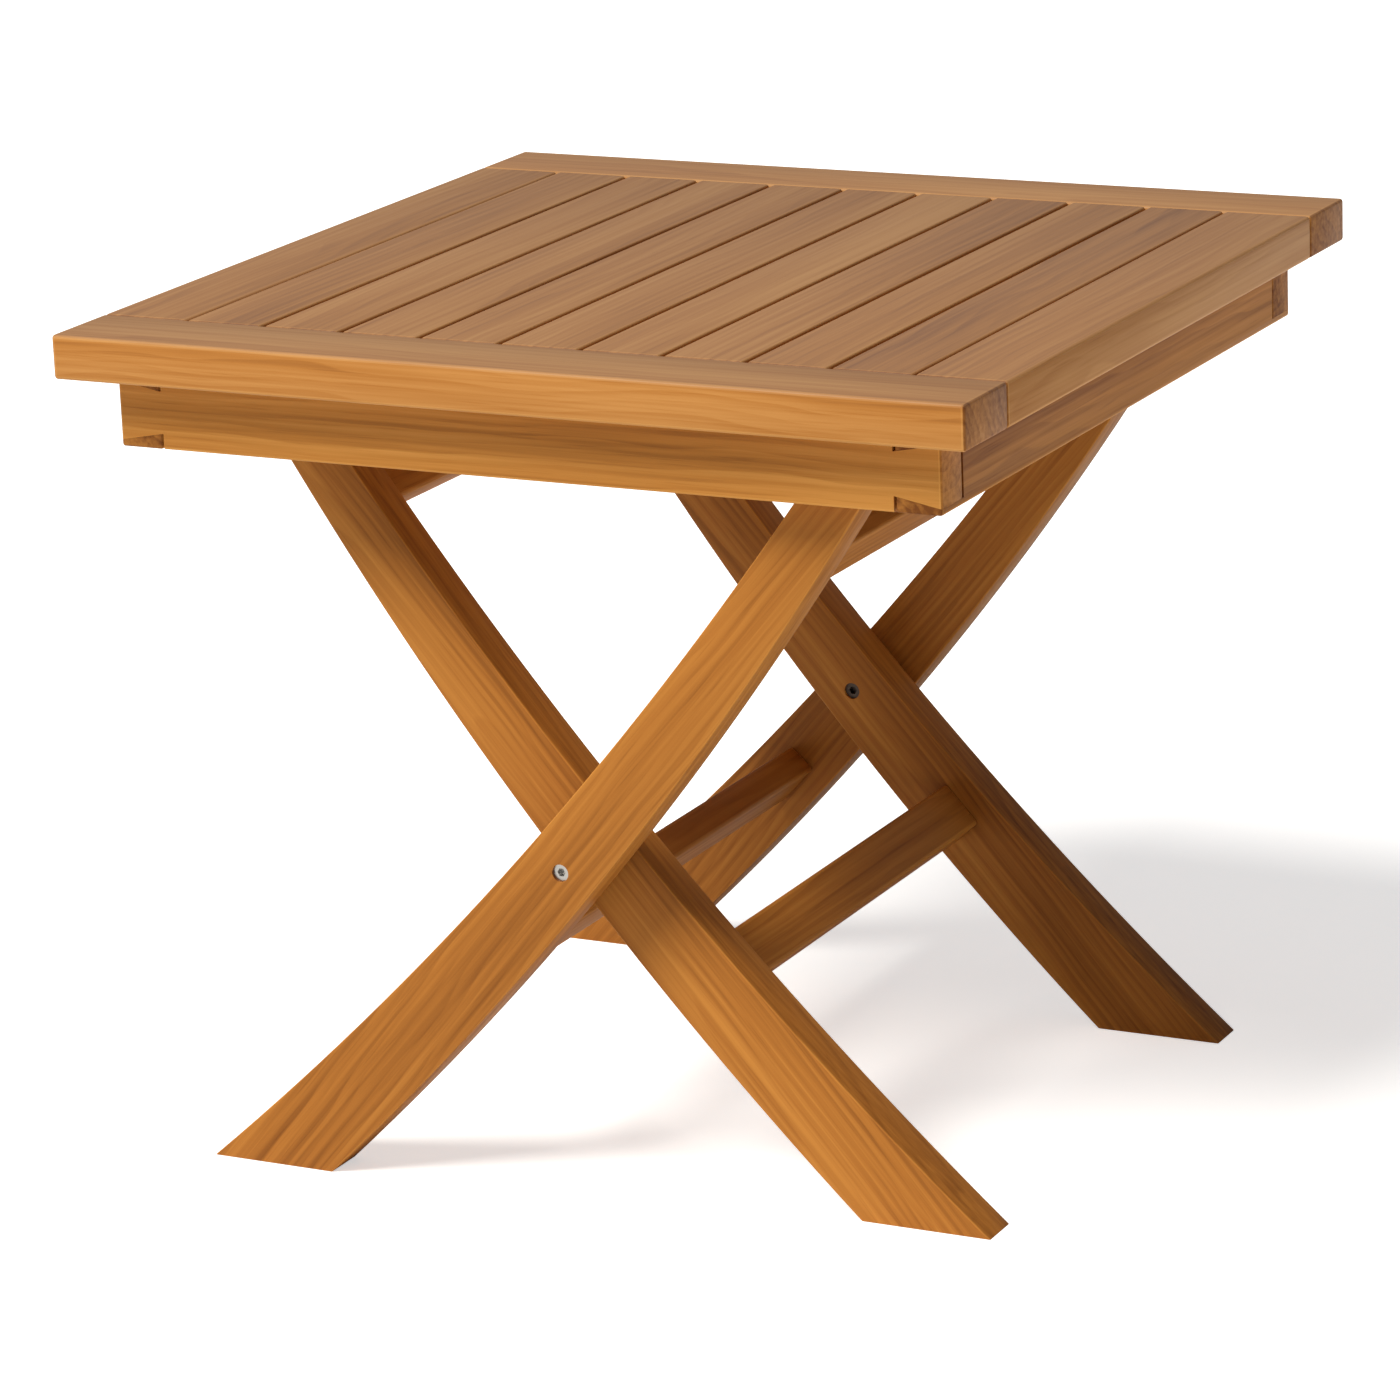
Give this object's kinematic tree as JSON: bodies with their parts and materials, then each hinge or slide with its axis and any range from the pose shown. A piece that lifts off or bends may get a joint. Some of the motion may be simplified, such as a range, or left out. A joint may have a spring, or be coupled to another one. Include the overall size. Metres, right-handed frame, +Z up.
{
  "type": "folding picnic table",
  "caption": "Small square folding table with a slatted teak top on two crossed frames of curved legs.",
  "frame": {"origin": "on the ground under the middle of the square top", "axes": "+X to the right along the front, +Y to the back, +Z up"},
  "size_m": [0.5, 0.5, 0.45],
  "materials": {
    "teak_top": "satin oiled teak",
    "teak_apron": "satin oiled teak",
    "teak_leg": "satin oiled teak",
    "teak_inside": "plain sanded teak",
    "steel": "brushed stainless steel"
  },
  "bodies": {
    "outer_frame": {"outer_leg_front": "teak_leg", "outer_leg_back": "teak_leg", "outer_rail_upper": "teak_leg", "outer_rail_lower": "teak_leg", "pivot_sleeve_nuts": "steel", "pivot_screws": "steel", "pivot_spacers": "steel"},
    "top": {"end_board_front": "teak_top", "end_board_back": "teak_top", "side_rail_left": "teak_top", "side_rail_right": "teak_top", "slat_1": "teak_top", "slat_2": "teak_top", "slat_3": "teak_top", "slat_4": "teak_top", "slat_5": "teak_top", "slat_6": "teak_top", "slat_7": "teak_top", "slat_8": "teak_top", "slat_9": "teak_top", "apron_front": "teak_apron", "apron_back": "teak_apron", "apron_left": "teak_apron", "apron_right": "teak_apron", "cleat_front": "teak_inside", "cleat_back": "teak_inside", "cleat_left": "teak_inside", "cleat_right": "teak_inside", "cleat_screws": "steel", "apron_screws": "steel", "lock_dowel": "teak_inside", "hinge_rod": "steel"},
    "inner_frame": {"inner_leg_front": "teak_leg", "inner_leg_back": "teak_leg", "inner_rail_upper": "teak_leg", "inner_rail_lower": "teak_leg"}
  },
  "joints": [
    {"name": "top_tilt", "type": "hinge", "parent": "outer_frame", "child": "top", "pos_m": [0.17, 0, 0.405], "axis": [0, 1, 0], "range_deg": [0, 70]},
    {"name": "leg_scissor", "type": "hinge", "parent": "outer_frame", "child": "inner_frame", "pos_m": [0, 0, 0.18], "axis": [0, 1, 0], "range_deg": [0, 52.5]}
  ],
  "couplings": [
    {"joint": "leg_scissor", "follows": "top_tilt", "ratio": 0.75}
  ]
}
